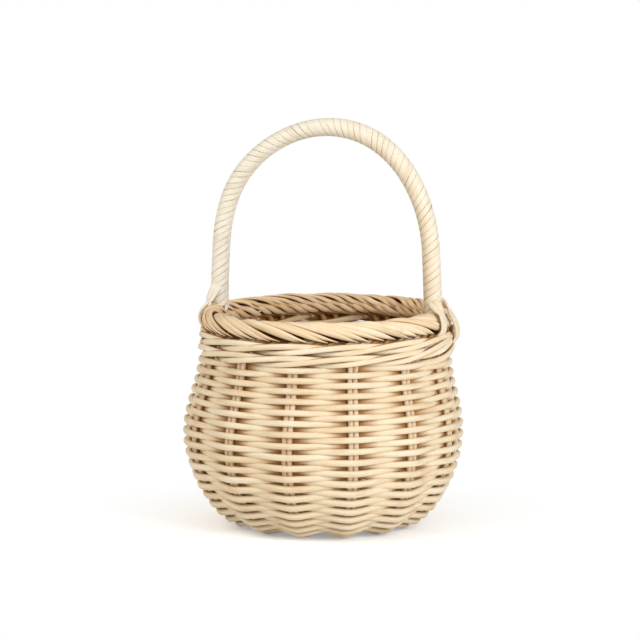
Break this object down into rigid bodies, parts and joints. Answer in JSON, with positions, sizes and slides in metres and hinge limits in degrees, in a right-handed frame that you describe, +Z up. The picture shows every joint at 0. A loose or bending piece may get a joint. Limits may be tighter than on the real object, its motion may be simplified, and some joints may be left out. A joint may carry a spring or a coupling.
{
  "type": "basket",
  "caption": "Small round rattan basket with a rounded belly, a rolled border and a tall peel-wound arch handle",
  "frame": {"origin": "on the axis of the basket, on the plane that the floor rests on", "axes": "+Z up along the axis of the basket; +X toward the right foot of the handle, which lies in the XZ plane; +Y to the back"},
  "size_m": [0.1597, 0.161, 0.2341],
  "materials": {
    "stake_rattan": "peeled rattan rod, dry, matt",
    "weaver_rattan": "peeled rattan rod, dry, matt",
    "wale_rattan": "peeled rattan rod, dry, matt",
    "strand_rattan": "peeled rattan rod, dry, matt",
    "core_rattan": "thick cane, dry, matt",
    "peel": "flat split peel, smooth, half matt"
  },
  "bodies": {
    "root": {"bye_stake_01a": "strand_rattan", "bye_stake_01b": "strand_rattan", "bye_stake_02a": "strand_rattan", "bye_stake_02b": "strand_rattan", "bye_stake_03a": "strand_rattan", "bye_stake_03b": "strand_rattan", "bye_stake_04a": "strand_rattan", "bye_stake_04b": "strand_rattan", "bye_stake_05a": "strand_rattan", "bye_stake_05b": "strand_rattan", "bye_stake_06a": "strand_rattan", "bye_stake_06b": "strand_rattan", "bye_stake_07a": "strand_rattan", "bye_stake_07b": "strand_rattan", "bye_stake_08a": "strand_rattan", "bye_stake_08b": "strand_rattan", "bye_stake_09a": "strand_rattan", "bye_stake_09b": "strand_rattan", "bye_stake_10a": "strand_rattan", "bye_stake_10b": "strand_rattan", "bye_stake_11a": "strand_rattan", "bye_stake_11b": "strand_rattan", "bye_stake_12a": "strand_rattan", "bye_stake_12b": "strand_rattan", "bye_stake_13a": "strand_rattan", "bye_stake_13b": "strand_rattan", "floor_weaver_1": "weaver_rattan", "floor_weaver_2": "weaver_rattan", "foot_lashing_left_far": "peel", "foot_lashing_left_near": "peel", "foot_lashing_right_far": "peel", "foot_lashing_right_near": "peel", "half_stake_a": "stake_rattan", "half_stake_b": "stake_rattan", "handle_core": "core_rattan", "handle_wrap_1": "peel", "handle_wrap_2": "peel", "handle_wrap_3": "peel", "handle_wrap_4": "peel", "handle_wrap_5": "peel", "side_weaver_1": "weaver_rattan", "side_weaver_2": "weaver_rattan", "side_weaver_3": "weaver_rattan", "side_weaver_4": "weaver_rattan", "side_weaver_5": "weaver_rattan", "through_stake_1a": "stake_rattan", "through_stake_1b": "stake_rattan", "through_stake_2a": "stake_rattan", "through_stake_2b": "stake_rattan", "through_stake_3a": "stake_rattan", "through_stake_3b": "stake_rattan", "through_stake_4a": "stake_rattan", "through_stake_4b": "stake_rattan", "through_stake_5a": "stake_rattan", "through_stake_5b": "stake_rattan", "through_stake_6a": "stake_rattan", "through_stake_6b": "stake_rattan", "wale_rod_1": "wale_rattan", "wale_rod_2": "wale_rattan", "wale_rod_3": "wale_rattan"}
  },
  "joints": []
}
